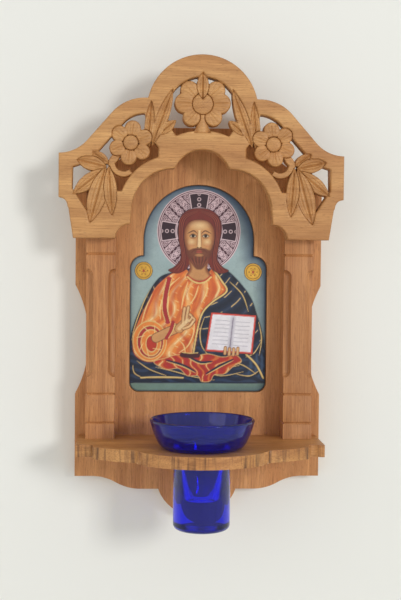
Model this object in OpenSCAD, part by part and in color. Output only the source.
// Wall-hung carved wooden shrine: a backboard with a recessed panel, two fluted posts, an openwork
// carved pediment, and a scalloped shelf that carries a glass oil lamp.
// X runs across the front, Y runs back into the wall, Z runs up from the top of the shelf.
// The origin is on the wall face, on the centre line, level with the top of the shelf.

/* [Backboard] */
// Width of the backboard
board_w = 233; // [225:1:290]
// Thickness of the backboard
board_t = 16; // [14:0.5:24]
// Height of the backboard's flat top above the shelf
board_top = 291; // [280:1:300]
// Height of the backboard's sides above the shelf
board_side_top = 232; // [225:1:245]
// Width of the flat top edge
board_crown_w = 64; // [40:1:100]
// Drop of the square lower corners below the shelf
board_drop = 39.5; // [34:0.5:50]
// Depth that each side is scooped in at the waist
waist_depth = 12.8; // [4:0.1:14]
// Height of the top of the waist scoop
waist_top = 142.5; // [120:0.5:160]
// Height of the bottom of the waist scoop
waist_bottom = 39; // [20:0.5:60]
// Height that the lower edge sweeps down beside the pendant
sweep_drop = 12.4; // [6:0.2:14]
// Width of the pendant where it leaves the lower edge
pendant_w = 74; // [60:1:90]
// Radius of the round pendant
pendant_r = 39.2; // [38:0.2:50]

/* [Panel] */
// Width of the painted panel
panel_w = 130; // [108:1:140]
// Height of the panel's lower edge above the shelf
panel_z = 41; // [30:1:60]
// Height of the panel from its lower edge to the crown of its arch
panel_h = 196.6; // [160:1:205]
// Thickness of the panel
panel_t = 4; // [2:0.5:6]
// Radius of the panel's arched head
panel_arch_r = 52.5; // [40:0.5:54]
// Height of the panel's arched head, from its shoulders to its crown
panel_head = 67; // [56:0.5:90]
// Radius of the panel's lower corners
panel_corner_r = 9; // [3:0.5:15]
// Depth that the recess is cut into the backboard
recess_depth = 9; // [6:0.5:11]
// Gap between the panel and the wall of its recess
panel_gap = 0.3; // [0.1:0.1:0.6]

/* [Posts] */
// Width of a post
post_w = 27; // [22:0.5:33]
// Depth of a post from the backboard to its front
post_d = 27; // [22:0.5:34]
// Distance from the side of the backboard to the outer side of a post
post_inset = 11; // [6:0.5:16]
// Height of the top of a post
post_h = 236; // [225:1:245]
// Height of the upper ring groove
groove_upper = 172; // [166:1:178]
// Height of the middle ring groove
groove_middle = 42; // [36:1:48]
// Height of the lower ring groove
groove_lower = 15; // [10:1:22]
// Width of a ring groove where it opens
groove_w = 2.6; // [1:0.2:4]
// Height of the foot of the flutes
flute_z0 = 58; // [50:1:70]
// Height of the head of the flutes
flute_z1 = 158; // [145:1:163]
// Radius of the flute cut on each front corner
flute_r = 6.4; // [3:0.2:8]

/* [Shelf] */
// Thickness of the shelf
shelf_t = 11; // [9:0.5:16]
// Distance from the side of the backboard to the end of the shelf
shelf_inset = 3.7; // [0:0.1:8]
// Depth of the shelf at its ends, from the backboard
shelf_end_d = 61.5; // [56:0.5:70]
// Depth of the shelf at its centre, from the backboard
shelf_mid_d = 127; // [118:1:135]
// Radius of the front of the large centre lobe
shelf_lobe_r = 72; // [66:1:84]
// Width of the square fillet left at each end of the front
shelf_end_strip = 3.6; // [2:0.2:6]
// Radius of the cove beside the fillet
shelf_cove_r = 6; // [3:0.5:8]

/* [Pediment] */
// Thickness of the pediment board
ped_t = 16.6; // [12:0.2:22]
// Distance that a foot of the pediment stands out past its post
foot_overhang = 11.5; // [6:0.5:14]
// Distance that an ear stands out past the foot
ear_overhang = 13.2; // [10:0.2:18]
// Height of the bottom of the ears
ear_z0 = 223; // [216:0.5:230]
// Height of the top of the ears
ear_z1 = 263; // [256:0.5:268]
// Height of the bottom of the pediment's feet
foot_z = 186; // [180:0.5:192]
// Radius of the cove at the foot of the arched opening
foot_cove_r = 13.3; // [8:0.1:16]
// Radius of the haunches of the arched opening
opening_r = 38; // [30:0.5:42]
// Height of the haunches' centre above the foot
opening_rise = 26; // [20:0.5:34]
// Radius of the small round head of the opening
top_r = 26; // [24:0.5:28]
// Height of the head's centre above the haunches' centre
top_rise = 29.4; // [26:0.2:34]
// Height of the level shoulders beside the crown arch
shoulder_z = 313.7; // [308:0.1:318]
// Radius of the crown arch
crown_r = 50.8; // [47:0.1:54]
// Height of the centre of the crown arch
crown_z = 302.7; // [298:0.1:306]
// Width of the rim left around the carved field
rim_w = 14; // [10:0.5:16]
// Width of the crown arch's band
crown_band = 18.5; // [14:0.5:22]
// Width of the band around the arched opening
arch_band = 12; // [9:0.5:14]
// Height of the band between the opening and the light above it
sill_band = 17.2; // [12:0.2:20]
// Depth of the carved relief
relief_d = 6; // [3:0.5:9]
// Thickness of the leaves and petals above the carved ground
leaf_t = 5; // [2:0.5:8]

/* [Lamp] */
// Distance from the backboard to the centre of the lamp
lamp_d = 79; // [74:0.5:84]
// Outer radius of the lamp's rim
lamp_rim_r = 46.7; // [42:0.1:50]
// Height of the rim above the shelf
lamp_rim_z = 25.6; // [20:0.1:32]
// Outer radius of the lamp's stem
lamp_stem_r = 25.4; // [20:0.1:30]
// Length of the stem below the shelf's top
lamp_stem_l = 72; // [60:0.5:85]
// Thickness of the glass at the bowl
lamp_wall = 2.8; // [2:0.1:4]
// Depth of the well inside the stem, below the shelf's top
lamp_well_l = 45; // [35:0.5:52]
// Radius of the well at its mouth
lamp_well_r0 = 19.5; // [16:0.1:21]
// Radius of the well at its floor
lamp_well_r1 = 11; // [8:0.1:15]
// Gap between the stem and the hole in the shelf
lamp_fit = 1.1; // [0.6:0.1:2]
// Gap between the bowl and the top of the shelf
lamp_seat = 0.3; // [0.2:0.1:0.5]

/* [Fixings] */
// Radius of a screw's shank
screw_r = 2; // [1.5:0.1:2.5]
// Radius of a screw's head
screw_head_r = 4; // [3.2:0.1:5]
// Height of a screw's head
screw_head_t = 2.6; // [2:0.1:3]
// Length of a screw from under its head
screw_l = 28; // [24:1:32]
// Depth of a screw's counterbore below the wall face
screw_sink = 4; // [3.5:0.5:6]
// Gap around a screw in its hole
screw_gap = 0.2; // [0.1:0.1:0.4]
// Width of the hanging plate
plate_w = 44; // [36:1:60]
// Height of the hanging plate
plate_h = 20; // [18:1:26]
// Thickness of the hanging plate
plate_t = 2; // [1.5:0.1:3]
// Radius of the plate's entry hole
plate_hole_r = 4.5; // [4:0.1:5.5]
// Radius of the plate's narrow slot
plate_slot_r = 2.2; // [1.8:0.1:3]
// Distance from the backboard's top edge down to the middle of the hanging plate
plate_drop = 29; // [20:1:60]

/* [Hidden] */
$fn = 64;

eps = 0.01;
over = 1;
front_y = -board_t;
post_y = front_y - post_d;
ped_y = post_y - ped_t;
ground_y = ped_y + relief_d;
lamp_y = front_y - lamp_d;

// Points along an arc from angle a0 to a1
function arc(cx, cy, r, a0, a1, n = 12) =
    [for (i = [0:n]) let (a = a0 + (a1 - a0) * i / n) [cx + r * cos(a), cy + r * sin(a)]];
// The same points on the other side of the centre line, in reverse, without those on the line
function mirrored(pts) = [for (i = [len(pts) - 1:-1:0]) if (pts[i][0] > eps) [-pts[i][0], pts[i][1]]];

// A plate cut from an XZ outline, with its front at y and its thickness running back
module upright(y, t) {
    translate([0, y + t, 0]) rotate([90, 0, 0]) linear_extrude(t) children();
}

// ---- backboard ----
waist_half = (waist_top - waist_bottom) / 2;
waist_r = (waist_half * waist_half + waist_depth * waist_depth) / (2 * waist_depth);
waist_a = asin(waist_half / waist_r);
waist_mid = (waist_top + waist_bottom) / 2;
half_w = board_w / 2;
sweep_x1 = half_w - 16;
sweep_x0 = pendant_w / 2 + 17;
sweep_run = sweep_x1 - sweep_x0;
sweep_r = (sweep_run * sweep_run + sweep_drop * sweep_drop) / (4 * sweep_drop);
sweep_a = asin(sweep_run / 2 / sweep_r);
sweep_z = -board_drop - sweep_drop;
pendant_a = acos(pendant_w / 2 / pendant_r);
pendant_z = sweep_z + pendant_r * sin(pendant_a);

board_right = concat(
    arc(0, pendant_z, pendant_r, -90, -pendant_a, 16),
    arc(sweep_x0, sweep_z + sweep_r, sweep_r, -90, -90 + sweep_a, 10),
    arc(sweep_x1, -board_drop - sweep_r, sweep_r, 90 + sweep_a, 90, 10),
    [[half_w, -board_drop]],
    arc(half_w - waist_depth + waist_r, waist_mid, waist_r, 180 + waist_a, 180 - waist_a, 20),
    [[half_w, board_side_top], [board_crown_w / 2, board_top]]);

module panel_outline(grow = 0) {
    w = panel_w / 2 + grow;
    r = panel_arch_r + grow;
    z0 = panel_z - grow;
    arch_z = panel_z + panel_h - panel_arch_r;
    shoulder_r = (panel_w - 2 * panel_arch_r) / 2;
    shoulder = panel_z + panel_h - panel_head + grow - shoulder_r;
    right = concat(
        arc(w - panel_corner_r, z0 + panel_corner_r, panel_corner_r, -90, 0, 8),
        arc(r, shoulder, shoulder_r, 0, 90, 8),
        arc(0, arch_z, r, 0, 90, 24));
    polygon(concat(right, mirrored(right)));
}

post_out = half_w - post_inset;
post_mid = post_out - post_w / 2;
plate_z = board_top - plate_drop;
post_screw_z = [28, 205];
shelf_screw_x = [-82, 0, 82];
plate_screw_x = plate_w / 2 - 6;

module screw_hole(x, z) {
    translate([x, over, z]) rotate([90, 0, 0])
        cylinder(r = screw_head_r + screw_gap, h = screw_sink + screw_head_t + over);
    translate([x, over, z]) rotate([90, 0, 0])
        cylinder(r = screw_r + screw_gap, h = screw_sink + screw_head_t + screw_l + over);
}

module screw(x, z) {
    slot_w = 1;
    slot_d = 1;
    difference() {
        union() {
            translate([x, -screw_sink, z]) rotate([90, 0, 0])
                cylinder(r = screw_head_r, h = screw_head_t);
            translate([x, -screw_sink - screw_head_t / 2, z]) rotate([90, 0, 0])
                cylinder(r = screw_r, h = screw_head_t / 2 + screw_l - over);
        }
        translate([x - screw_head_r - over, -screw_sink - slot_d, z - slot_w / 2])
            cube([2 * screw_head_r + 2 * over, slot_d + over, slot_w]);
    }
}

plate_pin_r = 1.5;
plate_pin_l = 8;
plate_head_r = 2.6;
plate_slot_l = 9;
plate_pocket_d = 9;

module backboard() {
    color("#b9804f") difference() {
        upright(front_y, board_t) polygon(concat(board_right, mirrored(board_right)));
        upright(front_y - over, recess_depth + over) panel_outline(panel_gap);
        for (s = [-1, 1], z = post_screw_z) screw_hole(s * post_mid, z);
        for (x = shelf_screw_x) screw_hole(x, -shelf_t / 2);
        translate([-plate_w / 2 - panel_gap, -plate_t, plate_z - plate_h / 2 - panel_gap])
            cube([plate_w + 2 * panel_gap, plate_t + over, plate_h + 2 * panel_gap]);
        for (dz = [0, plate_slot_l]) translate([0, 0, plate_z - plate_slot_l / 2 + dz])
            rotate([90, 0, 0]) cylinder(r = plate_hole_r + over, h = plate_pocket_d);
        for (s = [-1, 1]) translate([s * plate_screw_x, 0, plate_z]) rotate([90, 0, 0])
            cylinder(r = plate_pin_r + screw_gap, h = plate_t + plate_pin_l + over);
    }
}

module icon_panel() {
    color("#93a89b") upright(front_y + recess_depth - panel_t, panel_t) panel_outline();
}

// ---- posts ----
// A V groove across the front of a post, carried round both corners onto its sides
groove_reach = 16;
module ring_groove(z) {
    half_w = groove_w / 2;
    v = [[-over, half_w + over], [half_w, 0], [-over, -half_w - over]];
    translate([-over, post_y, z]) rotate([90, 0, 90]) linear_extrude(post_w + 2 * over) polygon(v);
    translate([0, post_y + groove_reach, z]) rotate([90, 0, 0]) linear_extrude(groove_reach + over) polygon(v);
    translate([post_w, post_y + groove_reach, z]) rotate([90, 0, 0]) linear_extrude(groove_reach + over)
        mirror([1, 0]) polygon(v);
}

// A round-ended cutter that hollows a front corner between two heights
flute_end_a = 70;
module flute(x) {
    z0 = flute_z0 + flute_r * sin(flute_end_a);
    z1 = flute_z1 - flute_r * sin(flute_end_a);
    translate([x, post_y, 0]) rotate_extrude() polygon(concat(
        [[0, flute_z0]], arc(0, z0, flute_r, -flute_end_a, 0, 6),
        arc(0, z1, flute_r, 0, flute_end_a, 6), [[0, flute_z1]]));
}

module post(side) {
    x0 = side > 0 ? post_out - post_w : -post_out;
    color("#b07a50") translate([x0, 0, 0]) difference() {
        translate([0, post_y, 0]) cube([post_w, post_d, post_h]);
        for (z = [groove_upper, groove_middle, groove_lower]) ring_groove(z);
        for (x = [0, post_w]) flute(x);
        for (z = post_screw_z) screw_hole(side > 0 ? post_mid - x0 : -post_mid - x0, z);
    }
}

module left_post() post(-1);
module right_post() post(1);

// ---- shelf ----
shelf_half = half_w - shelf_inset;
lobe_d0 = shelf_mid_d - shelf_lobe_r;
lobe_x = 52;
lobe_d = lobe_d0 + sqrt(shelf_lobe_r * shelf_lobe_r - lobe_x * lobe_x);
wing_x0 = 59;
wing_x1 = shelf_half - shelf_end_strip - 2 * shelf_cove_r;
wing_d0 = shelf_end_d + 29.5;
wing_d1 = shelf_end_d + 9.5;
wing_a = atan((wing_d0 - wing_d1) / (wing_x1 - wing_x0));
wing_bulge = 2.5;
function wing(t) = [
    wing_x0 + (wing_x1 - wing_x0) * t + wing_bulge * 4 * t * (1 - t) * sin(wing_a),
    wing_d0 + (wing_d1 - wing_d0) * t + wing_bulge * 4 * t * (1 - t) * cos(wing_a)];
// The front edge from the centre lobe, over the step and the wing, to the cove and the end fillet
shelf_right = concat(
    arc(0, lobe_d0, shelf_lobe_r, 90, acos(lobe_x / shelf_lobe_r), 18),
    arc((lobe_x + wing_x0) / 2 + 1.5, lobe_d - 1.5, 4.6, 170, 262, 6),
    [for (i = [0:10]) wing(i / 10)],
    arc(wing_x1 + shelf_cove_r, shelf_end_d + shelf_cove_r * 0.6, shelf_cove_r, 170, 300, 8),
    [[shelf_half - shelf_end_strip, shelf_end_d], [shelf_half, shelf_end_d], [shelf_half, 0]]);
hole_r = lamp_stem_r + lamp_fit;

module shelf() {
    color("#c08a52") difference() {
        translate([0, front_y, -shelf_t]) mirror([0, 1, 0]) linear_extrude(shelf_t)
            polygon(concat(shelf_right, mirrored(shelf_right)));
        translate([0, lamp_y, -shelf_t - over]) cylinder(r = hole_r, h = shelf_t + 2 * over);
        for (x = shelf_screw_x) screw_hole(x, -shelf_t / 2);
    }
}

// ---- pediment ----
foot_in = post_out - post_w;
foot_out = post_out + foot_overhang;
ear_x = foot_out + ear_overhang;
ogee_a = 48.7;
ogee_r1 = 40;
ogee_r2 = 34;
ogee_rise = shoulder_z - ear_z1 - (ogee_r1 + ogee_r2) * (1 - cos(ogee_a));
ogee_x = ear_x - (ogee_r1 + ogee_r2) * sin(ogee_a) - ogee_rise / tan(ogee_a);
// The upper edge from the ear to the shoulder, moved in square to itself
function ogee(inset) = concat(
    arc(ear_x, ear_z1 + ogee_r2, ogee_r2 + inset, 270, 270 - ogee_a, 12),
    arc(ogee_x, shoulder_z - ogee_r1, ogee_r1 - inset, 90 - ogee_a, 90, 12));

ear_step = 8;
ear_in = ear_x - ear_step;
crown_foot = asin((shoulder_z - crown_z) / crown_r);
outer_right = concat(
    [[foot_out, foot_z], [ear_in - 1, ear_z0 - ear_step - 2]],
    arc(ear_x, ear_z0 - ear_step, ear_step, 180, 100, 6),
    [[ear_x, ear_z0]],
    ogee(0),
    arc(0, crown_z, crown_r, crown_foot, 90, 20));

opening_step = 1.2;
opening_x = foot_in - foot_cove_r - opening_step - opening_r;
opening_z = foot_z + opening_rise;
top_z = opening_z + top_rise;
cusp_a = 22.5;
inner_right = concat(
    arc(0, top_z, top_r, 90, cusp_a, 12),
    arc(opening_x, opening_z, opening_r, 90, 0, 16),
    arc(foot_in - foot_cove_r, foot_z, foot_cove_r, 90, 0, 8));

module half(side) mirror([side > 0 ? 0 : 1, 0, 0]) children();

// The sunk ground of one side, between the rim, the crown arch and the arched opening
field_x = ear_x - 12.2;
field_z = foot_z + 43;
field_in = 40;
module side_field() {
    difference() {
        polygon(concat(
            [[foot_in - 8, field_z], [foot_in + 11.5, field_z], [foot_in + 22.5, foot_z + 19],
                [field_x, field_z + 2]],
            [for (p = ogee(rim_w)) if (p[0] < field_x) p],
            [[field_in, shoulder_z - rim_w], [field_in, opening_z + opening_r]]));
        translate([opening_x, opening_z]) circle(r = opening_r + arch_band);
        translate([0, crown_z]) circle(r = crown_r + 1.6);
    }
}

// The round light inside the crown arch, closed below by the band over the opening
light_r = crown_r - crown_band;
light_sill_r = 60;
light_sill_z = top_z + top_r + sill_band;
module crown_field() {
    difference() {
        translate([0, crown_z - 1.5]) circle(r = light_r);
        translate([0, light_sill_z - light_sill_r]) circle(r = light_sill_r);
    }
}

// A pointed leaf between two points, as wide as w at its middle
module leaf(a, b, w) {
    l = norm(b - a);
    r = (l * l / 4 + w * w / 4) / w;
    t = asin(l / 2 / r);
    translate(a) rotate(atan2(b[1] - a[1], b[0] - a[0])) polygon(concat(
        arc(l / 2, w / 2 - r, r, 90 - t, 90 + t, 12),
        [for (p = arc(l / 2, r - w / 2, r, 270 - t, 270 + t, 12)) if (p[0] > eps && p[0] < l - eps) p]));
}

// Root, tip and width of each leaf, from the inner corner of the pediment's foot
leaves = [
    [[6.5, 66], [3, 20], 12],
    [[9.5, 65], [23.5, 13.5], 17],
    [[10.5, 63], [39, 40], 13],
    [[8.5, 65], [35.5, 71], 13],
    [[6.5, 68], [21.5, 78.5], 9]];
foot = [foot_in, foot_z];
module leaf_shape(i) translate(foot) leaf(leaves[i][0], leaves[i][1], leaves[i][2]);

flower_at = foot + [-13.3, 87];
petal_n = 6;
petal_r = 7.4;
petal_d = 13;
heart_r = 6.8;
petal_turn = 38;
module flower_petals_shape() {
    for (i = [0:petal_n - 1]) rotate(petal_turn + 360 * i / petal_n) translate([petal_d, 0]) circle(r = petal_r);
}

tendril_r = 13;
tendril_w = 5;
tendril_at = foot + [-7, 69];
flower_stem = [[7, 66], [-4, 79], 7];
// A curl that runs from the root of the leaves under the flower, and the flower's own short stem
module tendril_shape() {
    translate(tendril_at) polygon(concat(
        arc(0, 0, tendril_r, 230, 365, 14),
        arc(0, 0, tendril_r - tendril_w, 365, 230, 14)));
    translate(foot) leaf(flower_stem[0], flower_stem[1], flower_stem[2]);
}

// Root, tip and width of each leaf beside the crown arch, from the arch's centre
sprig = [[[46, -32.7], [27, 20.3], 11], [[50, -36.7], [46.5, 9.3], 9], [[41, -22.7], [24, -8.7], 9]];
module sprig_shape() {
    translate([0, crown_z]) for (s = sprig) leaf(s[0], s[1], s[2]);
}

// Petals of the centre flower: angle, distance and radius
center_z = crown_z + 6.1;
center_petals_list = [[0, 17, 8.2], [180, 17, 8.2], [43, 19, 6.8], [137, 19, 6.8], [-48, 15.5, 6.6], [228, 15.5, 6.6]];
module center_petals_shape() {
    translate([0, center_z]) for (p = center_petals_list)
        rotate(p[0]) translate([p[1], 0]) circle(r = p[2]);
}
center_heart_r = 9.5;
module center_heart_shape() translate([0, center_z]) circle(r = center_heart_r);
module center_top_shape() leaf([0, center_z + 4], [0, center_z + 29], 11);
module center_stem_shape() {
    sill = light_sill_z - 2;
    polygon([[-4.5, center_z - 6], [4.5, center_z - 6], [4, sill + 10], [8, sill], [-8, sill], [-4, sill + 10]]);
}

module side_flower_shape() translate(flower_at) flower_petals_shape();
module side_heart_shape() translate(flower_at) circle(r = heart_r);
module side_leaves_shape() {
    for (i = [0:len(leaves) - 1]) leaf_shape(i);
}
module side_carving() {
    side_heart_shape();
    side_flower_shape();
    side_leaves_shape();
    tendril_shape();
    sprig_shape();
}
module center_carving() {
    center_top_shape();
    center_heart_shape();
    center_petals_shape();
    center_stem_shape();
}

module pediment_board() {
    color("#c49a62") difference() {
        upright(ped_y, ped_t) polygon(concat(outer_right, mirrored(outer_right),
            mirrored(inner_right), inner_right));
        upright(ped_y - over, relief_d + over) {
            crown_field();
            center_carving();
        }
        for (side = [-1, 1]) half(side) upright(ped_y - over, relief_d + over) {
            side_field();
            side_carving();
        }
        upright(ped_y, ped_t + over) difference() {
            crown_field();
            center_carving();
            for (side = [-1, 1]) half(side) sprig_shape();
        }
        for (side = [-1, 1]) half(side) upright(ped_y, ped_t + over) difference() {
            side_field();
            side_carving();
        }
    }
}

// A carved piece that stands on the sunk ground
module relief(t = leaf_t) color("#c9a066") upright(ground_y - t, t) children();
heart_rise = 1.5;

module center_top_petal() relief() center_top_shape();
module center_heart() relief(leaf_t + heart_rise) difference() {
    center_heart_shape();
    center_top_shape();
}
module center_petals() relief() difference() {
    center_petals_shape();
    center_heart_shape();
    center_top_shape();
}
module center_stem() relief() difference() {
    center_stem_shape();
    center_heart_shape();
    center_petals_shape();
}

module side_heart(side) half(side) relief(leaf_t + heart_rise) side_heart_shape();
module side_petals(side) half(side) relief() difference() {
    side_flower_shape();
    side_heart_shape();
}
module side_leaf(side, i) half(side) relief() difference() {
    leaf_shape(i);
    side_flower_shape();
    if (i > 0) for (j = [0:i - 1]) leaf_shape(j);
}
module side_tendril(side) half(side) relief() difference() {
    tendril_shape();
    side_flower_shape();
    side_heart_shape();
    side_leaves_shape();
}
module side_sprig(side) half(side) relief() difference() {
    sprig_shape();
    side_flower_shape();
    center_petals_shape();
}

module left_heart() side_heart(-1);
module right_heart() side_heart(1);
module left_petals() side_petals(-1);
module right_petals() side_petals(1);
module left_tendril() side_tendril(-1);
module right_tendril() side_tendril(1);
module left_sprig() side_sprig(-1);
module right_sprig() side_sprig(1);

// ---- lamp ----
bowl_base_r = hole_r + 5;
bowl_h = lamp_rim_z - lamp_seat;
bowl_power = 0.42;
bowl_n = 16;
bowl_floor = 0.14;
stem_corner_r = 5;
well_corner_r = 5;
function bowl(t, inset) = [
    bowl_base_r + (lamp_rim_r - bowl_base_r) * pow(t, bowl_power) - inset,
    lamp_seat + bowl_h * t];
well_mouth_z = lamp_seat + lamp_wall;
lamp_profile = concat(
    [[0, -lamp_stem_l]],
    arc(lamp_stem_r - stem_corner_r, stem_corner_r - lamp_stem_l, stem_corner_r, -90, 0, 6),
    [[lamp_stem_r, lamp_seat]],
    [for (i = [0:bowl_n]) bowl(pow(i / bowl_n, 2), 0)],
    [for (i = [bowl_n:-1:0]) let (t = bowl_floor + (1 - bowl_floor) * i / bowl_n) bowl(t, lamp_wall)],
    [[lamp_well_r0 + 2, well_mouth_z], [lamp_well_r0, well_mouth_z - 2]],
    arc(lamp_well_r1 - well_corner_r, well_corner_r - lamp_well_l, well_corner_r, 0, -90, 6),
    [[0, -lamp_well_l]]);
module lamp_glass() {
    color("#2028c8") translate([0, lamp_y, 0]) rotate_extrude() polygon(lamp_profile);
}

// ---- fixings ----
module post_screws() {
    color("#a8a8a0") for (s = [-1, 1], z = post_screw_z) screw(s * post_mid, z);
}

module shelf_screws() {
    color("#a8a8a0") for (x = shelf_screw_x) screw(x, -shelf_t / 2);
}

module hanging_plate() {
    color("#c8a850") difference() {
        translate([-plate_w / 2, -plate_t, plate_z - plate_h / 2]) cube([plate_w, plate_t, plate_h]);
        translate([0, over, plate_z - plate_slot_l / 2]) rotate([90, 0, 0])
            cylinder(r = plate_hole_r, h = plate_t + 2 * over);
        translate([0, over, plate_z + plate_slot_l / 2]) rotate([90, 0, 0])
            cylinder(r = plate_slot_r, h = plate_t + 2 * over);
        translate([-plate_slot_r, -plate_t - over, plate_z - plate_slot_l / 2])
            cube([2 * plate_slot_r, plate_t + 2 * over, plate_slot_l]);
        for (s = [-1, 1]) translate([s * plate_screw_x, over, plate_z]) rotate([90, 0, 0]) {
            cylinder(r = plate_pin_r + screw_gap, h = plate_t + 2 * over);
            cylinder(r = plate_head_r + screw_gap, h = plate_t / 2 + over);
        }
    }
}

module plate_screws() {
    color("#a8a8a0") for (s = [-1, 1]) translate([s * plate_screw_x, 0, plate_z]) rotate([90, 0, 0]) {
        cylinder(r = plate_head_r, h = plate_t / 2);
        cylinder(r = plate_pin_r, h = plate_t + plate_pin_l);
    }
}

module left_leaf_1() side_leaf(-1, 0);
module left_leaf_2() side_leaf(-1, 1);
module left_leaf_3() side_leaf(-1, 2);
module left_leaf_4() side_leaf(-1, 3);
module left_leaf_5() side_leaf(-1, 4);
module right_leaf_1() side_leaf(1, 0);
module right_leaf_2() side_leaf(1, 1);
module right_leaf_3() side_leaf(1, 2);
module right_leaf_4() side_leaf(1, 3);
module right_leaf_5() side_leaf(1, 4);

backboard();
icon_panel();
left_post();
right_post();
shelf();
pediment_board();
center_petals();
center_heart();
center_top_petal();
center_stem();
left_petals();
left_heart();
right_petals();
right_heart();
left_leaf_1();
left_leaf_2();
left_leaf_3();
left_leaf_4();
left_leaf_5();
right_leaf_1();
right_leaf_2();
right_leaf_3();
right_leaf_4();
right_leaf_5();
left_tendril();
right_tendril();
left_sprig();
right_sprig();
lamp_glass();
hanging_plate();
plate_screws();
post_screws();
shelf_screws();
